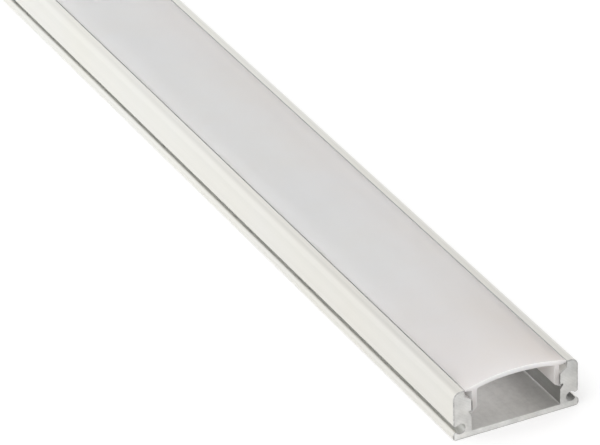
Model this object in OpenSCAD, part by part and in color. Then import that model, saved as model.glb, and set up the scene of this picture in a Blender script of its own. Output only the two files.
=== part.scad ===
// Surface-mounted aluminium channel for a light strip, with a domed opal cover that snaps in.
// The length runs along X and is centred, the width lies along Y, and the base stands on Z = 0.
// Sections are drawn with x across the width and y upwards, and along_x() lays them in place.

/* [Length] */
// Length of the channel and of its cover, both saw-cut together
length = 500; // [100:10:2000]

/* [Channel] */
// Clear width between the walls, a little over a 12 mm light strip
inner_w = 12.2; // [8:0.1:20]
// Thickness of each wall, from its inner face to its outer face
wall_t = 2.5; // [2.3:0.05:3.5]
// Height of the walls above the base
rim_h = 6.7; // [6.2:0.1:12]
// Thickness of the floor that the strip is stuck to
floor_t = 0.8; // [0.6:0.05:1.5]
// Radius of the outer top edge of each wall
rim_r = 1; // [0.3:0.05:1.2]
// Radius of the inner top edge of each wall, beside the cover
seam_r = 0.15; // [0.05:0.05:0.3]
// Radius in the corner between the floor and each wall
floor_corner_r = 0.15; // [0.1:0.05:0.6]

/* [Flange and clip groove] */
// How far each flange stands out past its wall
flange_out = 0.1; // [0:0.05:1]
// Thickness of each flange
flange_t = 1.2; // [1.15:0.05:1.3]
// Radius of the flange's upper outer edge
flange_r = 0.55; // [0.3:0.05:0.6]
// Radius of the flange's lower outer edge
base_r = 0.5; // [0.2:0.05:0.5]
// Diameter of the round groove that a clip or an end cap's pin sits in
groove_d = 1.35; // [1:0.05:1.5]
// Height of the groove's centre above the base
groove_z = 1.5; // [1.4:0.05:1.6]
// Distance of the groove's centre in from the wall's outer face
groove_in = 0.97; // [0.85:0.01:1.1]
// Height of the groove's open mouth
mouth_h = 0.75; // [0.5:0.05:0.9]
// Radius of the lip that hangs over the mouth
lip_r = 0.3; // [0.1:0.05:0.4]

/* [Seat and catch in the wall] */
// Width of the step under the cover's long edges, outwards from the wall's inner face
step_w = 0.94; // [0.6:0.02:1.1]
// Depth of the step below the rim, at the foot of its upright face
step_depth = 0.9; // [0.7:0.05:1.4]
// Further fall of the slanted shoulder from there to the wall's inner face
shoulder_drop = 0.65; // [0.4:0.05:1]
// Depth of the catch's ledge below the rim
ledge_depth = 3.1; // [2.9:0.05:3.6]
// How deep the catch is cut into the wall
catch_w = 0.4; // [0.3:0.05:0.6]
// Height of the catch's upright back, below the ledge
catch_back_h = 0.15; // [0.1:0.05:0.3]
// Height of the slant that runs out of the catch below its back
catch_slant_h = 0.55; // [0.4:0.05:1.2]

/* [Cover] */
// Thickness of the domed top
dome_t = 0.65; // [0.5:0.05:0.75]
// Rise of the dome's crest above the rim
crown = 1.05; // [0.6:0.05:2]
// Rise of the cover's long edges above the rim
edge_rise = 0.05; // [0:0.05:0.2]
// Radius of the cover's long outer edges
edge_r = 0.12; // [0.05:0.01:0.15]
// Thickness of each long edge at its outside, where it hangs over the step
edge_t = 0.24; // [0.18:0.01:0.4]
// How much lower the edge's underside lies at the leg than at its outside
edge_drop = 0.18; // [0.05:0.01:0.4]
// Thickness of each leg
leg_t = 0.63; // [0.5:0.01:0.9]
// Radius where the dome meets a leg on the inside
leg_corner_r = 0.3; // [0.1:0.05:0.5]
// How far the barb at the foot of each leg stands out past the leg
barb_out = 0.26; // [0.2:0.02:0.36]
// Height of the barb's outer side, from its top to the lowest point of the foot
barb_h = 0.2; // [0.18:0.01:0.35]
// Bevel at the barb's lower outer corner, which leads it in
barb_bevel = 0.1; // [0.05:0.01:0.15]
// Rise of the foot's underside from the barb to the leg's inner face
foot_rise = 0.5; // [0.2:0.05:0.7]

/* [Fits] */
// Gap between the cover's long edges and the rims
edge_gap = 0.08; // [0.05:0.01:0.2]
// Gap between each leg and the wall
leg_gap = 0.12; // [0.03:0.01:0.15]
// Gap between each barb and the ledge above it
barb_gap = 0.08; // [0.03:0.01:0.15]

/* [Hidden] */
$fn = 144;

// How far a cutting shape runs past what it cuts
over = 0.2;

// Half widths and heights of the channel
throat_x = inner_w / 2;
wall_x = throat_x + wall_t;
flange_x = wall_x + flange_out;
rim_x = throat_x + step_w;
step_z = rim_h - step_depth;
ledge_z = rim_h - ledge_depth;
groove_x = wall_x - groove_in;

// Half widths and heights of the cover, taken from the channel and the gaps
edge_x = rim_x - edge_gap;
leg_x = throat_x - leg_gap;
leg_inner_x = leg_x - leg_t;
edge_z = rim_h + edge_rise - edge_t;
root_z = edge_z - edge_drop;
barb_z = ledge_z - barb_gap;
foot_z = barb_z - barb_h;

// Arc of the dome, through its crest and both long edges
dome_rise = crown - edge_rise;
dome_r = (edge_x * edge_x + dome_rise * dome_rise) / (2 * dome_rise);
dome_centre_z = rim_h + crown - dome_r;

module both_sides() {
    children();
    mirror([1, 0]) children();
}

// Lays a section along X, centred on the origin
module along_x() {
    rotate([90, 0, 90]) linear_extrude(height = length, center = true) children();
}

// What lies between a square corner at the origin, open towards +x and +y, and a round of radius r
module corner_round(r) {
    difference() {
        translate([-over, -over]) square(r + over);
        translate([r, r]) circle(r);
    }
}

// A strip of half width w under an arc of radius arc_r about the origin, its two top corners rounded
module arched_strip(arc_r, w, corner_r) {
    corner_x = w - corner_r;
    corner_z = sqrt(pow(arc_r - corner_r, 2) - pow(corner_x, 2));
    past_arc = (arc_r + over) / (arc_r - corner_r);
    difference() {
        intersection() {
            circle(arc_r);
            translate([-w, 0]) square([2 * w, arc_r]);
        }
        both_sides() difference() {
            polygon([
                [corner_x, corner_z],
                [w + over, corner_z],
                [w + over, corner_z * past_arc],
                [corner_x, corner_z] * past_arc
            ]);
            translate([corner_x, corner_z]) circle(corner_r);
        }
    }
}

// Base, flanges and walls before anything is cut from them
module channel_blank() {
    translate([-flange_x, 0]) square([2 * flange_x, floor_t]);
    both_sides() {
        translate([throat_x, 0]) square([flange_x - throat_x, flange_t]);
        translate([throat_x, 0]) square([wall_t, rim_h]);
        translate([throat_x, floor_t]) mirror([1, 0]) corner_round(floor_corner_r);
    }
}

// Round groove low in the outer face, with a mouth narrower than the groove
module clip_groove() {
    translate([groove_x, groove_z]) circle(d = groove_d);
    translate([groove_x, flange_t]) square([flange_x - groove_x + over, mouth_h]);
    translate([wall_x, flange_t + mouth_h]) mirror([1, 0]) corner_round(lip_r);
}

// Step and slanted shoulder under a long edge of the cover
module rim_step() {
    polygon([
        [throat_x - over, rim_h + over],
        [rim_x, rim_h + over],
        [rim_x, step_z],
        [throat_x, step_z - shoulder_drop],
        [throat_x - over, step_z - shoulder_drop]
    ]);
}

// Undercut that a barb of the cover snaps into
module catch_notch() {
    back_z = ledge_z - catch_back_h;
    polygon([
        [throat_x - over, ledge_z],
        [throat_x + catch_w, ledge_z],
        [throat_x + catch_w, back_z],
        [throat_x, back_z - catch_slant_h],
        [throat_x - over, back_z - catch_slant_h]
    ]);
}

// Rounds of the wall's top edges and of the flange's outer edges
module edge_rounds() {
    translate([wall_x, rim_h]) rotate(180) corner_round(rim_r);
    translate([rim_x, rim_h]) rotate(-90) corner_round(seam_r);
    translate([flange_x, flange_t]) rotate(180) corner_round(flange_r);
    translate([flange_x, 0]) rotate(90) corner_round(base_r);
}

module channel_section() {
    difference() {
        channel_blank();
        both_sides() {
            clip_groove();
            rim_step();
            catch_notch();
            edge_rounds();
        }
    }
}

// Right half of the cover's outline below the dome: the thin edge, a leg and its barbed foot
function cover_side() =
    let (
        barb_x = leg_x + barb_out,
        foot_slope = foot_rise / (barb_x - barb_bevel - leg_inner_x),
        edge_slope = edge_drop / (edge_x - leg_x)
    )
    [
        [leg_inner_x - over, foot_z + foot_rise + over * foot_slope],
        [barb_x - barb_bevel, foot_z],
        [barb_x, foot_z + barb_bevel],
        [barb_x, barb_z],
        [leg_x, barb_z],
        [leg_x, root_z],
        [edge_x + over, edge_z + over * edge_slope],
        [edge_x + over, rim_h + crown + over]
    ];

module diffuser_section() {
    side = cover_side();
    other_side = [for (i = [len(side) - 1 : -1 : 0]) [-side[i][0], side[i][1]]];
    difference() {
        intersection() {
            polygon(concat(side, other_side));
            translate([0, dome_centre_z]) arched_strip(dome_r, edge_x, edge_r);
        }
        translate([0, dome_centre_z]) arched_strip(dome_r - dome_t, leg_inner_x, leg_corner_r);
    }
}

// The extruded aluminium channel
module channel() {
    color("silver") along_x() channel_section();
}

// The extruded opal cover
module diffuser() {
    color("ghostwhite") along_x() diffuser_section();
}

channel();
diffuser();
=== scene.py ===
import math

import bmesh
import bpy
from mathutils import Matrix, Vector


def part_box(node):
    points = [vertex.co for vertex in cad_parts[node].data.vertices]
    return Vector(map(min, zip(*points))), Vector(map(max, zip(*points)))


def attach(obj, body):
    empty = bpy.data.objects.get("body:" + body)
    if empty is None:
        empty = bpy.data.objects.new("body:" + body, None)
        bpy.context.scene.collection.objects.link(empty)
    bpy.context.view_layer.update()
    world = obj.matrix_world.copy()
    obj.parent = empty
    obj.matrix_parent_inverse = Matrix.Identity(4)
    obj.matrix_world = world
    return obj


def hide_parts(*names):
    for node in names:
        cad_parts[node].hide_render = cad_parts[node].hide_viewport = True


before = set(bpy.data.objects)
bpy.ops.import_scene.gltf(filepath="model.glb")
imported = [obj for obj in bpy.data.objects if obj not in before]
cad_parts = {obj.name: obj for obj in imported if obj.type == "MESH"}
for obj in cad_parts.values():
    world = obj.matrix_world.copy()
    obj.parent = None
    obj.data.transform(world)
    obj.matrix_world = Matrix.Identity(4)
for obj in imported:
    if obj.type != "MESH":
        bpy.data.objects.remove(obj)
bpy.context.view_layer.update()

MM = 0.001

# Overall sizes, read from the frame
CHANNEL_LOW, CHANNEL_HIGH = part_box("channel")
NEAR_END = CHANNEL_HIGH.x
LENGTH = CHANNEL_HIGH.x - CHANNEL_LOW.x
FLANGE_Y = CHANNEL_HIGH.y
RIM_Z = CHANNEL_HIGH.z

# Section of the channel
FLOOR_T = 0.8 * MM
FLOOR_CORNER_R = 0.15 * MM
FLANGE_OUT = 0.1 * MM
FLANGE_T = 1.2 * MM
FLANGE_R = 0.55 * MM
BASE_R = 0.5 * MM
WALL_T = 2.5 * MM
WALL_Y = FLANGE_Y - FLANGE_OUT
THROAT_Y = WALL_Y - WALL_T
RIM_R = 1.0 * MM
SEAM_R = 0.15 * MM
GROOVE_R = 0.675 * MM
GROOVE_Y = WALL_Y - 0.97 * MM
GROOVE_Z = 1.5 * MM
MOUTH_TOP = FLANGE_T + 0.75 * MM
LIP_R = 0.3 * MM
STEP_Y = THROAT_Y + 0.94 * MM
STEP_Z = RIM_Z - 0.9 * MM
SHOULDER_Z = STEP_Z - 0.65 * MM
LEDGE_Z = RIM_Z - 3.1 * MM
CATCH_Y = THROAT_Y + 0.4 * MM
CATCH_BACK_Z = LEDGE_Z - 0.15 * MM
CATCH_FOOT_Z = CATCH_BACK_Z - 0.55 * MM

# Section of the cover
EDGE_Y = STEP_Y - 0.08 * MM
EDGE_Z = RIM_Z + 0.05 * MM - 0.24 * MM
EDGE_ROOT_Z = EDGE_Z - 0.18 * MM
LEG_Y = THROAT_Y - 0.12 * MM
LEG_INNER_Y = LEG_Y - 0.63 * MM
LEG_CORNER_R = 0.3 * MM
BARB_Y = LEG_Y + 0.26 * MM
BARB_Z = LEDGE_Z - 0.08 * MM
BARB_BEVEL = 0.1 * MM
FOOT_Z = BARB_Z - 0.2 * MM
FOOT_INNER_Z = FOOT_Z + 0.5 * MM
DOME_T = 0.65 * MM
DOME_RISE = 1.0 * MM
CREST_Z = RIM_Z + 1.05 * MM
EDGE_R = 0.12 * MM
DOME_R = (EDGE_Y ** 2 + DOME_RISE ** 2) / (2 * DOME_RISE)
DOME_CENTRE_Z = CREST_Z - DOME_R

# Finish of the meshes
ARC_SAG = 0.0005 * MM
SHARP = math.radians(28)

# The camera, as the photograph's perspective gives it
PHOTO_LENS = 278.77
PHOTO_AZIMUTH = 64.114
PHOTO_ELEVATION = 29.510
PHOTO_ROLL = -1.844
PHOTO_DISTANCE = 562.41 * MM
PHOTO_AIM = Vector((NEAR_END - 22.20 * MM, -17.44 * MM, 21.84 * MM))


def trace(bm, start, moves):
    """A wire in the plane x = 0 from start. A move is a point (y, z) to run straight to,
    or (y, z, turn) to run round that centre by turn degrees."""
    vert = bm.verts.new((0, *start))
    for move in moves:
        if len(move) == 2:
            point = bm.verts.new((0, *move))
            bm.edges.new((vert, point))
            vert = point
            continue
        y, z, turn = move
        radius = math.hypot(vert.co.y - y, vert.co.z - z)
        step = math.sqrt(8 * ARC_SAG / radius)
        spun = bmesh.ops.spin(bm, geom=[vert], cent=(0, y, z), axis=(1, 0, 0), dvec=(0, 0, 0),
                              angle=math.radians(turn), steps=math.ceil(math.radians(abs(turn)) / step),
                              use_duplicate=False, use_normal_flip=False)
        vert = next(g for g in spun["geom_last"] if isinstance(g, bmesh.types.BMVert))


def extrusion(name, start, moves, finishes, choose, cut_edge):
    """Half a section mirrored across the width, filled, drawn out to the full length and cut square,
    with a small bevel round the cuts. choose names each face's finish."""
    bm = bmesh.new()
    trace(bm, start, moves)
    bmesh.ops.mirror(bm, geom=bm.verts[:] + bm.edges[:], axis="Y", merge_dist=0.001 * MM)
    bmesh.ops.remove_doubles(bm, verts=bm.verts, dist=0.0005 * MM)
    bmesh.ops.edgeloop_fill(bm, edges=bm.edges)
    bmesh.ops.translate(bm, verts=bm.verts, vec=(CHANNEL_LOW.x, 0, 0))
    drawn = bmesh.ops.extrude_face_region(bm, geom=bm.faces[:])
    moved = [g for g in drawn["geom"] if isinstance(g, bmesh.types.BMVert)]
    bmesh.ops.translate(bm, verts=moved, vec=(LENGTH, 0, 0))
    bmesh.ops.recalc_face_normals(bm, faces=bm.faces)
    rims = [e for e in bm.edges if abs(e.verts[0].co.x - e.verts[1].co.x) < MM]
    bmesh.ops.bevel(bm, geom=rims, offset=cut_edge, segments=2, profile=0.5, affect="EDGES",
                    material=-1, clamp_overlap=True)
    for face in bm.faces:
        face.smooth = True
        face.material_index = list(finishes).index(choose(face))
    for edge in bm.edges:
        edge.smooth = edge.calc_face_angle(0) < SHARP
    mesh = bpy.data.meshes.new(name)
    bm.to_mesh(mesh)
    bm.free()
    for material in finishes.values():
        mesh.materials.append(material)
    piece = bpy.data.objects.new(name, mesh)
    bpy.context.scene.collection.objects.link(piece)
    weighted = piece.modifiers.new("flat_faces_stay_flat", "WEIGHTED_NORMAL")
    weighted.keep_sharp = True
    return piece


def channel_finish(face):
    """The name of the finish on a face of the channel."""
    spot, normal = face.calc_center_median(), face.normal
    y, z = abs(spot.y), spot.z
    if abs(normal.x) > 0.999:
        return "sawn"
    if abs(normal.x) > 0.1:
        # The bevel beside the leg takes the dark burr finish as painted shade in the slit between leg and wall.
        beside_leg = LEDGE_Z < z < SHOULDER_Z
        return "burr" if y > STEP_Y or spot.y > THROAT_Y - MM or z < MM / 2 or beside_leg else "sawn"
    if math.hypot(y - GROOVE_Y, z - GROOVE_Z) < GROOVE_R * 1.01:
        return "left groove" if spot.y < 0 else "right groove"
    if y > STEP_Y + SEAM_R / 2 or z < FLOOR_T / 2:
        return "outside"
    if z > LEDGE_Z:
        return "left step" if spot.y < 0 else "right step"
    if z > FLOOR_T + FLOOR_CORNER_R:
        return "wall"
    return "corner" if abs(normal.y) > 0.4 else "bed"


def channel(finishes):
    """The aluminium channel, its half section traced from the middle of the base outwards."""
    round_y, round_z = FLANGE_Y - FLANGE_R, FLANGE_T - FLANGE_R
    apart = math.hypot(round_y - GROOVE_Y, GROOVE_Z - round_z)
    bearing = math.atan2(GROOVE_Z - round_z, GROOVE_Y - round_y)
    round_turn = bearing - math.acos((apart ** 2 + FLANGE_R ** 2 - GROOVE_R ** 2) / (2 * apart * FLANGE_R))
    mouth_foot = math.asin((GROOVE_Z - round_z - FLANGE_R * math.sin(round_turn)) / GROOVE_R)
    mouth_head = math.asin((MOUTH_TOP - GROOVE_Z) / GROOVE_R)
    return extrusion("channel_profile", (0, 0), [
        (FLANGE_Y - BASE_R, 0),
        (FLANGE_Y - BASE_R, BASE_R, 90),
        (FLANGE_Y, FLANGE_T - FLANGE_R),
        (round_y, round_z, math.degrees(round_turn)),
        (GROOVE_Y, GROOVE_Z, math.degrees(mouth_foot + mouth_head) - 360),
        (WALL_Y - LIP_R, MOUTH_TOP),
        (WALL_Y - LIP_R, MOUTH_TOP + LIP_R, 90),
        (WALL_Y, RIM_Z - RIM_R),
        (WALL_Y - RIM_R, RIM_Z - RIM_R, 90),
        (STEP_Y + SEAM_R, RIM_Z),
        (STEP_Y + SEAM_R, RIM_Z - SEAM_R, 90),
        (STEP_Y, STEP_Z),
        (THROAT_Y, SHOULDER_Z),
        (THROAT_Y, LEDGE_Z),
        (CATCH_Y, LEDGE_Z),
        (CATCH_Y, CATCH_BACK_Z),
        (THROAT_Y, CATCH_FOOT_Z),
        (THROAT_Y, FLOOR_T + FLOOR_CORNER_R),
        (THROAT_Y - FLOOR_CORNER_R, FLOOR_T + FLOOR_CORNER_R, -90),
        (0, FLOOR_T),
    ], finishes, channel_finish, 0.06 * MM)


def cover_finish(face):
    """The name of the finish on a face of the cover."""
    spot, normal = face.calc_center_median(), face.normal
    if abs(normal.x) < 0.1 and normal.z > 0.3:
        return "thin edge" if abs(spot.y) > LEG_Y + 0.4 * MM else "top"
    if abs(normal.x) > 0.1:
        return "cut"
    outward = normal.y * math.copysign(1, spot.y)
    if abs(spot.y) > LEG_Y and spot.z > EDGE_ROOT_Z:
        return "edge side" if outward > 0.7 else "under edge"
    if outward < -0.9:
        return "leg inside"
    return "leg side" if outward > 0.9 and spot.z > BARB_Z else "inside"


def cover(finishes):
    """The opal cover, its half section traced from the outside of the crest round to the inside."""
    edge_y = EDGE_Y - EDGE_R
    edge_lean = math.asin(edge_y / (DOME_R - EDGE_R))
    edge_z = DOME_CENTRE_Z + (DOME_R - EDGE_R) * math.cos(edge_lean)
    corner_y = LEG_INNER_Y - LEG_CORNER_R
    corner_lean = math.asin(corner_y / (DOME_R - DOME_T - LEG_CORNER_R))
    corner_z = DOME_CENTRE_Z + (DOME_R - DOME_T - LEG_CORNER_R) * math.cos(corner_lean)
    return extrusion("opal_cover", (0, CREST_Z), [
        (0, DOME_CENTRE_Z, -math.degrees(edge_lean)),
        (edge_y, edge_z, math.degrees(edge_lean) - 90),
        (EDGE_Y, EDGE_Z),
        (LEG_Y, EDGE_ROOT_Z),
        (LEG_Y, BARB_Z),
        (BARB_Y, BARB_Z),
        (BARB_Y, FOOT_Z + BARB_BEVEL),
        (BARB_Y - BARB_BEVEL, FOOT_Z),
        (LEG_INNER_Y, FOOT_INNER_Z),
        (LEG_INNER_Y, corner_z),
        (corner_y, corner_z, 90 - math.degrees(corner_lean)),
        (0, DOME_CENTRE_Z, math.degrees(corner_lean)),
    ], finishes, cover_finish, 0.03 * MM)


def new_material(name):
    material = bpy.data.materials.new(name)
    material.use_nodes = True
    tree = material.node_tree
    return material, tree, tree.nodes["Principled BSDF"]


def group_socket(tree, name, way, kind="NodeSocketFloat", value=None):
    socket = tree.interface.new_socket(name, in_out=way, socket_type=kind)
    if value is not None:
        socket.default_value = value


def drawn_lines_group():
    """Faint lines that the die leaves along the length, as a value about a half."""
    tree = bpy.data.node_groups.new("drawn_lines", "ShaderNodeTree")
    group_socket(tree, "Lines per metre", "INPUT", value=2500.0)
    group_socket(tree, "Wander", "INPUT", value=6.0)
    group_socket(tree, "Lines", "OUTPUT")
    nodes, links = tree.nodes, tree.links
    taken = nodes.new("NodeGroupInput")
    given = nodes.new("NodeGroupOutput")
    place = nodes.new("ShaderNodeTexCoord")
    scale = nodes.new("ShaderNodeCombineXYZ")
    stretch = nodes.new("ShaderNodeVectorMath")
    stretch.operation = "MULTIPLY"
    noise = nodes.new("ShaderNodeTexNoise")
    noise.inputs["Scale"].default_value = 1
    noise.inputs["Detail"].default_value = 4
    noise.inputs["Roughness"].default_value = 0.65
    links.new(taken.outputs["Wander"], scale.inputs["X"])
    links.new(taken.outputs["Lines per metre"], scale.inputs["Y"])
    links.new(taken.outputs["Lines per metre"], scale.inputs["Z"])
    links.new(place.outputs["Object"], stretch.inputs[0])
    links.new(scale.outputs["Vector"], stretch.inputs[1])
    links.new(stretch.outputs["Vector"], noise.inputs["Vector"])
    links.new(noise.outputs["Fac"], given.inputs["Lines"])
    return tree


def cloud_group():
    """Soft patches of no direction, as a value about a half."""
    tree = bpy.data.node_groups.new("patches", "ShaderNodeTree")
    group_socket(tree, "Patches per metre", "INPUT", value=300.0)
    group_socket(tree, "Patches", "OUTPUT")
    nodes, links = tree.nodes, tree.links
    taken = nodes.new("NodeGroupInput")
    given = nodes.new("NodeGroupOutput")
    place = nodes.new("ShaderNodeTexCoord")
    noise = nodes.new("ShaderNodeTexNoise")
    noise.inputs["Detail"].default_value = 5
    noise.inputs["Roughness"].default_value = 0.55
    links.new(place.outputs["Object"], noise.inputs["Vector"])
    links.new(taken.outputs["Patches per metre"], noise.inputs["Scale"])
    links.new(noise.outputs["Fac"], given.inputs["Patches"])
    return tree


def reach_group(name, axis, outwards):
    """A mask that rises softly from 0 to 1 as a place goes from From to To along one axis of the piece."""
    tree = bpy.data.node_groups.new(name, "ShaderNodeTree")
    group_socket(tree, "From", "INPUT", value=0.0)
    group_socket(tree, "To", "INPUT", value=1.0)
    group_socket(tree, "Mask", "OUTPUT")
    nodes, links = tree.nodes, tree.links
    taken = nodes.new("NodeGroupInput")
    given = nodes.new("NodeGroupOutput")
    place = nodes.new("ShaderNodeTexCoord")
    parts = nodes.new("ShaderNodeSeparateXYZ")
    rise = nodes.new("ShaderNodeMapRange")
    rise.interpolation_type = "SMOOTHSTEP"
    links.new(place.outputs["Object"], parts.inputs["Vector"])
    found = parts.outputs[axis]
    if outwards:
        size = nodes.new("ShaderNodeMath")
        size.operation = "ABSOLUTE"
        links.new(found, size.inputs[0])
        found = size.outputs["Value"]
    links.new(found, rise.inputs["Value"])
    links.new(taken.outputs["From"], rise.inputs["From Min"])
    links.new(taken.outputs["To"], rise.inputs["From Max"])
    links.new(rise.outputs["Result"], given.inputs["Mask"])
    return tree


def outline_group():
    """A mask that is 1 in a narrow band inside the outer outline of the channel's walls and flanges."""
    tree = bpy.data.node_groups.new("outline", "ShaderNodeTree")
    group_socket(tree, "Band", "INPUT", value=0.00015)
    group_socket(tree, "Mask", "OUTPUT")
    nodes, links = tree.nodes, tree.links
    taken = nodes.new("NodeGroupInput")
    given = nodes.new("NodeGroupOutput")
    place = nodes.new("ShaderNodeTexCoord")
    steps = [nodes.new("ShaderNodeVectorMath") for _ in range(4)]
    for step, operation in zip(steps, ("ABSOLUTE", "SUBTRACT", "MAXIMUM", "LENGTH")):
        step.operation = operation
    steps[1].inputs[1].default_value = (LENGTH, WALL_Y - RIM_R, RIM_Z - RIM_R)
    inner = nodes.new("ShaderNodeMath")
    inner.operation = "SUBTRACT"
    inner.inputs[0].default_value = RIM_R
    rise = nodes.new("ShaderNodeMapRange")
    rise.inputs["From Max"].default_value = RIM_R
    links.new(place.outputs["Object"], steps[0].inputs[0])
    for before, after in zip(steps, steps[1:]):
        links.new(before.outputs["Vector"], after.inputs[0])
    links.new(taken.outputs["Band"], inner.inputs[1])
    links.new(steps[3].outputs["Value"], rise.inputs["Value"])
    links.new(inner.outputs["Value"], rise.inputs["From Min"])
    links.new(rise.outputs["Result"], given.inputs["Mask"])
    return tree


def place_group(tree, group, **values):
    node = tree.nodes.new("ShaderNodeGroup")
    node.node_tree = group
    for name, value in values.items():
        node.inputs[name.replace("_", " ")].default_value = value
    return node


def spread(tree, source, low, high, from_low=0.3, from_high=0.7):
    """A value about a half, widened to run from low to high."""
    node = tree.nodes.new("ShaderNodeMapRange")
    node.inputs["From Min"].default_value = from_low
    node.inputs["From Max"].default_value = from_high
    node.inputs["To Min"].default_value = low
    node.inputs["To Max"].default_value = high
    tree.links.new(source, node.inputs["Value"])
    return node.outputs["Result"]


def blend_colours(tree, factor, first, second):
    node = tree.nodes.new("ShaderNodeMix")
    node.data_type = "RGBA"
    node.inputs["A"].default_value = (*first, 1)
    node.inputs["B"].default_value = (*second, 1)
    tree.links.new(factor, node.inputs["Factor"])
    return node.outputs["Result"]


def bump(tree, height, distance, strength, normal=None):
    node = tree.nodes.new("ShaderNodeBump")
    node.inputs["Distance"].default_value = distance
    node.inputs["Strength"].default_value = strength
    tree.links.new(height, node.inputs["Height"])
    if normal is not None:
        tree.links.new(normal, node.inputs["Normal"])
    return node.outputs["Normal"]


def shade(tree, colour, factor, shade_colour):
    """A colour multiplied by a shade where the factor is 1."""
    node = tree.nodes.new("ShaderNodeMix")
    node.data_type = "RGBA"
    node.blend_type = "MULTIPLY"
    node.inputs["B"].default_value = (*shade_colour, 1)
    tree.links.new(colour, node.inputs["A"])
    tree.links.new(factor, node.inputs["Factor"])
    return node.outputs["Result"]


def anodised_aluminium(lines, patches, near_cut, to_right):
    """Satin anodised extrusion: pale silver with fine lines along the length and faint warm patches,
    with painted shade a little darker towards the cut ends and on the right."""
    material, tree, shader = new_material("anodised_aluminium")
    fine = place_group(tree, lines, Lines_per_metre=5200.0, Wander=9.0)
    broad = place_group(tree, lines, Lines_per_metre=900.0, Wander=2.5)
    warmth = place_group(tree, patches, Patches_per_metre=60.0)
    grain = place_group(tree, patches, Patches_per_metre=24000.0)
    shader.inputs["Metallic"].default_value = 1
    tone = blend_colours(tree, spread(tree, broad.outputs["Lines"], 0, 1), (0.80, 0.798, 0.767), (0.84, 0.838, 0.808))
    tone = shade(tree, tone, spread(tree, warmth.outputs["Patches"], 0, 1), (1.0, 0.992, 0.965))
    # Painted shade: darker towards both cut ends.
    end = place_group(tree, near_cut, From=NEAR_END - 110 * MM, To=NEAR_END)
    tone = shade(tree, tone, end.outputs["Mask"], (0.935, 0.925, 0.92))
    # Painted shade: darker on the outside of the right side.
    side = place_group(tree, to_right, From=6.6 * MM, To=8.2 * MM)
    tone = shade(tree, tone, side.outputs["Mask"], (0.85, 0.85, 0.85))
    tree.links.new(tone, shader.inputs["Base Color"])
    tree.links.new(spread(tree, fine.outputs["Lines"], 0.34, 0.44), shader.inputs["Roughness"])
    grained = bump(tree, grain.outputs["Patches"], 0.004 * MM, 0.5)
    tree.links.new(bump(tree, fine.outputs["Lines"], 0.006 * MM, 0.5, grained), shader.inputs["Normal"])
    return material


def inner_aluminium(lines, patches, near_cut, name, dark, light, roughness):
    """The inside of the channel, as drawn: satin and faintly mottled, with painted shade a little darker towards the
    cuts.
    """
    material, tree, shader = new_material(name)
    fine = place_group(tree, lines, Lines_per_metre=3400.0, Wander=12.0)
    broad = place_group(tree, lines, Lines_per_metre=1100.0, Wander=30.0)
    grain = place_group(tree, patches, Patches_per_metre=15000.0)
    mottle = place_group(tree, patches, Patches_per_metre=1400.0)
    shader.inputs["Metallic"].default_value = 1
    tone = blend_colours(tree, spread(tree, broad.outputs["Lines"], 0, 1), dark, light)
    tone = shade(tree, tone, spread(tree, mottle.outputs["Patches"], 0, 1, 0.4, 0.7), (0.93, 0.93, 0.93))
    # Painted shade: darker within a few millimetres of the cut ends.
    mouth = place_group(tree, near_cut, From=NEAR_END - 7 * MM, To=NEAR_END)
    tone = shade(tree, tone, mouth.outputs["Mask"], (0.80, 0.80, 0.79))
    tree.links.new(tone, shader.inputs["Base Color"])
    tree.links.new(spread(tree, fine.outputs["Lines"], roughness - 0.04, roughness + 0.04), shader.inputs["Roughness"])
    grained = bump(tree, grain.outputs["Patches"], 0.004 * MM, 0.5)
    tree.links.new(bump(tree, broad.outputs["Lines"], 0.004 * MM, 0.5, grained), shader.inputs["Normal"])
    return material


def groove_aluminium(lines, name, dark, light):
    """The inside of a clip groove, duller than the faces outside it; a darker tone given to it is painted shade in the
    hole.
    """
    material, tree, shader = new_material(name)
    fine = place_group(tree, lines, Lines_per_metre=3800.0, Wander=10.0)
    shader.inputs["Metallic"].default_value = 1
    tone = blend_colours(tree, spread(tree, fine.outputs["Lines"], 0, 1), dark, light)
    tree.links.new(tone, shader.inputs["Base Color"])
    tree.links.new(spread(tree, fine.outputs["Lines"], 0.5, 0.62), shader.inputs["Roughness"])
    tree.links.new(bump(tree, fine.outputs["Lines"], 0.006 * MM, 0.5), shader.inputs["Normal"])
    return material


def step_aluminium(patches, upwards, name, dark, light, painted_seam_shade):
    """The step under an edge of the cover and the wall beside the leg, with painted shade darker up in the seam."""
    material, tree, shader = new_material(name)
    cloud = place_group(tree, patches, Patches_per_metre=700.0)
    tone = blend_colours(tree, spread(tree, cloud.outputs["Patches"], 0, 1), dark, light)
    # Painted shade in the seam between the rim and the cover's edge.
    seam = place_group(tree, upwards, From=EDGE_Z - 0.2 * MM, To=EDGE_Z)
    tone = shade(tree, tone, seam.outputs["Mask"], painted_seam_shade)
    tree.links.new(tone, shader.inputs["Base Color"])
    shader.inputs["Metallic"].default_value = 1
    tree.links.new(spread(tree, cloud.outputs["Patches"], 0.45, 0.55), shader.inputs["Roughness"])
    tree.links.new(bump(tree, cloud.outputs["Patches"], 0.01 * MM, 0.4), shader.inputs["Normal"])
    return material


def blade_marks(tree):
    """Arcs across the cut, struck from a blade's centre low on the left."""
    place = tree.nodes.new("ShaderNodeTexCoord")
    hub = tree.nodes.new("ShaderNodeMapping")
    hub.inputs["Location"].default_value = (0, 0.074, 0.089)
    arcs = tree.nodes.new("ShaderNodeTexWave")
    arcs.wave_type = "RINGS"
    arcs.rings_direction = "X"
    arcs.inputs["Scale"].default_value = 900
    arcs.inputs["Distortion"].default_value = 6
    arcs.inputs["Detail"].default_value = 3
    arcs.inputs["Detail Scale"].default_value = 1.5
    tree.links.new(place.outputs["Object"], hub.inputs["Vector"])
    tree.links.new(hub.outputs["Vector"], arcs.inputs["Vector"])
    return arcs.outputs["Fac"]


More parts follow.
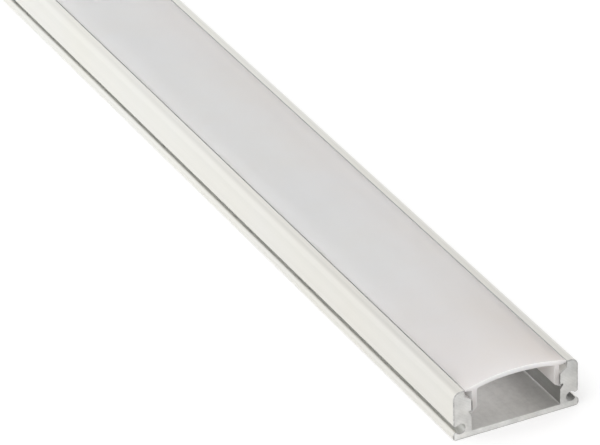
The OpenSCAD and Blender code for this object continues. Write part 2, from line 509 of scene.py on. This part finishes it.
def sawn_aluminium(patches, to_right, along_z, outline):
    """The bare cut ends: duller and greyer, clouded, with the faint arcs of the blade."""
    material, tree, shader = new_material("sawn_aluminium")
    cloud = place_group(tree, patches, Patches_per_metre=420.0)
    stain = place_group(tree, patches, Patches_per_metre=160.0)
    grain = place_group(tree, patches, Patches_per_metre=9000.0)
    marks = blade_marks(tree)
    shader.inputs["Metallic"].default_value = 1
    tone = blend_colours(tree, spread(tree, cloud.outputs["Patches"], 0, 1), (0.58, 0.58, 0.57), (0.79, 0.787, 0.77))
    tone = shade(tree, tone, spread(tree, stain.outputs["Patches"], 0, 1, 0.4, 0.65), (0.86, 0.85, 0.83))
    tone = shade(tree, tone, spread(tree, marks, 0, 0.6, 0.2, 1), (0.94, 0.94, 0.94))
    side = place_group(tree, to_right, From=4 * MM, To=7 * MM)
    tone = shade(tree, tone, side.outputs["Mask"], (0.88, 0.88, 0.88))
    floor = place_group(tree, along_z, From=0.9 * MM, To=0.7 * MM)
    tone = shade(tree, tone, floor.outputs["Mask"], (1.09, 1.09, 1.09))
    foot = place_group(tree, along_z, From=0.2 * MM, To=0.06 * MM)
    tone = shade(tree, tone, foot.outputs["Mask"], (0.72, 0.72, 0.72))
    band = place_group(tree, outline, Band=0.22 * MM)
    nibble = place_group(tree, patches, Patches_per_metre=1800.0)
    uneven = tree.nodes.new("ShaderNodeMath")
    uneven.operation = "MULTIPLY"
    tree.links.new(band.outputs["Mask"], uneven.inputs[0])
    tree.links.new(spread(tree, nibble.outputs["Patches"], 1, 0.3, 0.4, 0.65), uneven.inputs[1])
    tone = shade(tree, tone, uneven.outputs["Value"], (0.42, 0.42, 0.42))
    tree.links.new(tone, shader.inputs["Base Color"])
    tree.links.new(spread(tree, grain.outputs["Patches"], 0.42, 0.6), shader.inputs["Roughness"])
    cut = bump(tree, marks, 0.004 * MM, 0.4)
    tree.links.new(bump(tree, grain.outputs["Patches"], 0.01 * MM, 0.5, cut), shader.inputs["Normal"])
    return material


def burred_aluminium(patches):
    """The thin rolled edge that the saw leaves round the cut, uneven and mostly dark."""
    material, tree, shader = new_material("burred_aluminium")
    nibble = place_group(tree, patches, Patches_per_metre=1800.0)
    shader.inputs["Metallic"].default_value = 1
    tone = blend_colours(tree, spread(tree, nibble.outputs["Patches"], 0, 1, 0.42, 0.62), (0.36, 0.36, 0.35), (0.62, 0.62, 0.61))
    tree.links.new(tone, shader.inputs["Base Color"])
    tree.links.new(spread(tree, nibble.outputs["Patches"], 0.4, 0.6), shader.inputs["Roughness"])
    tree.links.new(bump(tree, nibble.outputs["Patches"], 0.02 * MM, 0.5), shader.inputs["Normal"])
    return material


def opal_plastic(lines, patches, name, mask, shade_colour, depth=4 * MM, to_right=None):
    """Milky cover that lets light through: nearly white, with faint warm and lilac tints, darkened with painted shade
    where the mask is 1 and, if given, towards the right.
    """
    material, tree, shader = new_material(name)
    tint = place_group(tree, patches, Patches_per_metre=70.0)
    drawn = place_group(tree, lines, Lines_per_metre=1500.0, Wander=4.0)
    where = place_group(tree, mask[0], From=mask[1], To=mask[2])
    tone = blend_colours(tree, spread(tree, tint.outputs["Patches"], 0, 1), (0.965, 0.905, 0.90), (0.97, 0.885, 0.835))
    # Painted shade where the mask is 1.
    tone = shade(tree, tone, where.outputs["Mask"], shade_colour)
    if to_right:
        # Painted shade towards the right side of the cover.
        right = place_group(tree, to_right, From=-2 * MM, To=7 * MM)
        tone = shade(tree, tone, right.outputs["Mask"], (0.78, 0.78, 0.775))
    tree.links.new(tone, shader.inputs["Base Color"])
    tree.links.new(spread(tree, drawn.outputs["Lines"], 0.36, 0.46), shader.inputs["Roughness"])
    shader.inputs["Subsurface Weight"].default_value = 1
    shader.inputs["Subsurface Radius"].default_value = (1, 1, 1)
    shader.inputs["Subsurface Scale"].default_value = depth
    shader.inputs["IOR"].default_value = 1.5
    shader.inputs["Specular IOR Level"].default_value = 0.25
    tree.links.new(bump(tree, drawn.outputs["Lines"], 0.002 * MM, 0.4), shader.inputs["Normal"])
    return material


def studio_floor():
    """A plain white floor, lit to white in the open and keeping the object's shadow."""
    bm = bmesh.new()
    bmesh.ops.create_circle(bm, cap_ends=True, segments=64, radius=12)
    mesh = bpy.data.meshes.new("studio_floor")
    bm.to_mesh(mesh)
    bm.free()
    floor = bpy.data.objects.new("studio_floor", mesh)
    bpy.context.scene.collection.objects.link(floor)
    material, tree, shader = new_material("studio_white")
    shader.inputs["Base Color"].default_value = (0.70, 0.70, 0.70, 1)
    shader.inputs["Roughness"].default_value = 1
    shader.inputs["Specular IOR Level"].default_value = 0
    shader.inputs["Emission Color"].default_value = (1, 1, 1, 1)
    path = tree.nodes.new("ShaderNodeLightPath")
    seen = tree.nodes.new("ShaderNodeMath")
    seen.operation = "MAXIMUM"
    seen_through = tree.nodes.new("ShaderNodeMath")
    seen_through.operation = "MAXIMUM"
    glow = tree.nodes.new("ShaderNodeMath")
    glow.operation = "MULTIPLY"
    glow.inputs[1].default_value = 0.33
    tree.links.new(path.outputs["Is Camera Ray"], seen.inputs[0])
    tree.links.new(path.outputs["Is Glossy Ray"], seen.inputs[1])
    tree.links.new(seen.outputs["Value"], seen_through.inputs[0])
    tree.links.new(path.outputs["Is Transmission Ray"], seen_through.inputs[1])
    tree.links.new(seen_through.outputs["Value"], glow.inputs[0])
    tree.links.new(glow.outputs["Value"], shader.inputs["Emission Strength"])
    mesh.materials.append(material)


def soft_lamp(name, energy, spread_angle, towards):
    lamp = bpy.data.lights.new(name, "SUN")
    lamp.energy = energy
    lamp.angle = math.radians(spread_angle)
    carrier = bpy.data.objects.new(name, lamp)
    carrier.rotation_euler = Vector(towards).to_track_quat("Z", "Y").to_euler()
    bpy.context.scene.collection.objects.link(carrier)


def studio_light():
    """A pale room, brightest round the horizon, with one broad soft lamp high on the camera's side."""
    world = bpy.data.worlds.new("studio")
    world.use_nodes = True
    nodes, links = world.node_tree.nodes, world.node_tree.links
    place = nodes.new("ShaderNodeTexCoord")
    height = nodes.new("ShaderNodeSeparateXYZ")
    ramp = nodes.new("ShaderNodeValToRGB")
    stops = ramp.color_ramp.elements
    stops[0].position = 0.05
    stops.new(0.35)
    stops.new(0.5)
    stops.new(0.77)
    for stop, tone in zip(stops, (1.0, 1.03, 0.94, 0.62, 0.50)):
        stop.color = (tone, tone, tone, 1)
    links.new(place.outputs["Generated"], height.inputs["Vector"])
    links.new(height.outputs["Z"], ramp.inputs["Fac"])
    links.new(ramp.outputs["Color"], nodes["Background"].inputs["Color"])
    nodes["Background"].inputs["Strength"].default_value = 1.1
    bpy.context.scene.world = world
    soft_lamp("lamp_high", 1.0, 60, (0.1, -0.45, 0.9))


def photo_camera():
    """The camera of the photograph: a long lens, above and beside the near end."""
    azimuth, elevation = math.radians(PHOTO_AZIMUTH), math.radians(PHOTO_ELEVATION)
    back = Vector((math.sin(azimuth) * math.cos(elevation), -math.cos(azimuth) * math.cos(elevation), math.sin(elevation)))
    right = Vector((math.cos(azimuth), math.sin(azimuth), 0))
    up = back.cross(right)
    turn = Matrix((right, up, back)).transposed().to_4x4()
    roll = Matrix.Rotation(math.radians(PHOTO_ROLL), 4, "Z")
    lens = bpy.data.cameras.new("photo_camera")
    lens.lens = PHOTO_LENS
    lens.clip_start = 0.02
    lens.clip_end = 60
    camera = bpy.data.objects.new("photo_camera", lens)
    camera.matrix_world = Matrix.Translation(PHOTO_AIM + back * PHOTO_DISTANCE) @ turn @ roll
    bpy.context.scene.collection.objects.link(camera)
    bpy.context.scene.camera = camera


photo_camera()
studio_floor()
studio_light()
bpy.context.scene.view_settings.view_transform = "Standard"

lines = drawn_lines_group()
patches = cloud_group()
near_cut = reach_group("near_cut", "X", True)
to_right = reach_group("to_right", "Y", False)
along_z = reach_group("along_z", "Z", False)
outline = outline_group()
channel_piece = channel({
    "outside": anodised_aluminium(lines, patches, near_cut, to_right),
    "sawn": sawn_aluminium(patches, to_right, along_z, outline),
    "burr": burred_aluminium(patches),
    # The inside is one metal in lit and shaded copies: the bed's paler tone is painted light, the inner wall's much
    # darker tone painted shade, and the smoother corner's palest tone a painted highlight along the fillet.
    "bed": inner_aluminium(lines, patches, near_cut, "strip_bed_aluminium", (0.925, 0.915, 0.90), (0.985, 0.975, 0.96), 0.56),
    "corner": inner_aluminium(lines, patches, near_cut, "corner_aluminium", (0.97, 0.97, 0.96), (1.0, 1.0, 0.99), 0.30),
    "wall": inner_aluminium(lines, patches, near_cut, "inner_wall_aluminium", (0.42, 0.42, 0.41), (0.50, 0.50, 0.49), 0.38),
    # Both steps are paler than the outside as painted light in the hollows under the cover's edges, the left one more;
    # their darker seams, the right one's much darker, are painted shade.
    "left step": step_aluminium(patches, along_z, "left_step_aluminium", (0.92, 0.92, 0.91), (0.98, 0.98, 0.97), (0.92, 0.92, 0.92)),
    "right step": step_aluminium(patches, along_z, "right_step_aluminium", (0.84, 0.84, 0.82), (0.94, 0.94, 0.92), (0.6, 0.6, 0.6)),
    "left groove": groove_aluminium(lines, "left_groove_aluminium", (0.76, 0.76, 0.74), (0.86, 0.86, 0.84)),
    # The right groove's much darker tones are painted shade in its hole.
    "right groove": groove_aluminium(lines, "right_groove_aluminium", (0.50, 0.50, 0.49), (0.60, 0.60, 0.59)),
})
cover_piece = cover({
    # Painted shade on the cover: the top and thin edge darker towards the cut ends and the right, the cut darker lower
    # down, the legs' outer sides nearly black low in the slit, and the edges' outer sides darker up in the seams; the
    # under edge, leg insides and inside are not shaded.
    "top": opal_plastic(lines, patches, "opal_top", (near_cut, NEAR_END - 34 * MM, NEAR_END), (0.76, 0.76, 0.755), 4 * MM, to_right),
    "cut": opal_plastic(lines, patches, "opal_cut", (along_z, 8.4 * MM, 3.6 * MM), (0.60, 0.60, 0.59)),
    "leg side": opal_plastic(lines, patches, "opal_leg_side", (along_z, 5.2 * MM, 4.7 * MM), (0.15, 0.15, 0.15)),
    "thin edge": opal_plastic(lines, patches, "opal_thin_edge", (near_cut, NEAR_END - 34 * MM, NEAR_END), (0.76, 0.76, 0.755), 2.6 * MM, to_right),
    "edge side": opal_plastic(lines, patches, "opal_edge_side", (along_z, EDGE_ROOT_Z, EDGE_Z), (0.85, 0.85, 0.85)),
    "under edge": opal_plastic(lines, patches, "opal_under_edge", (along_z, 0.9 * MM, 0.8 * MM), (1, 1, 1), 1.2 * MM),
    "leg inside": opal_plastic(lines, patches, "opal_leg_inside", (along_z, 0.9 * MM, 0.8 * MM), (1, 1, 1), 1 * MM),
    "inside": opal_plastic(lines, patches, "opal_inside", (along_z, 0.9 * MM, 0.8 * MM), (1, 1, 1)),
})

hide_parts("channel")
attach(channel_piece, "channel")
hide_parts("diffuser")
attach(cover_piece, "diffuser")
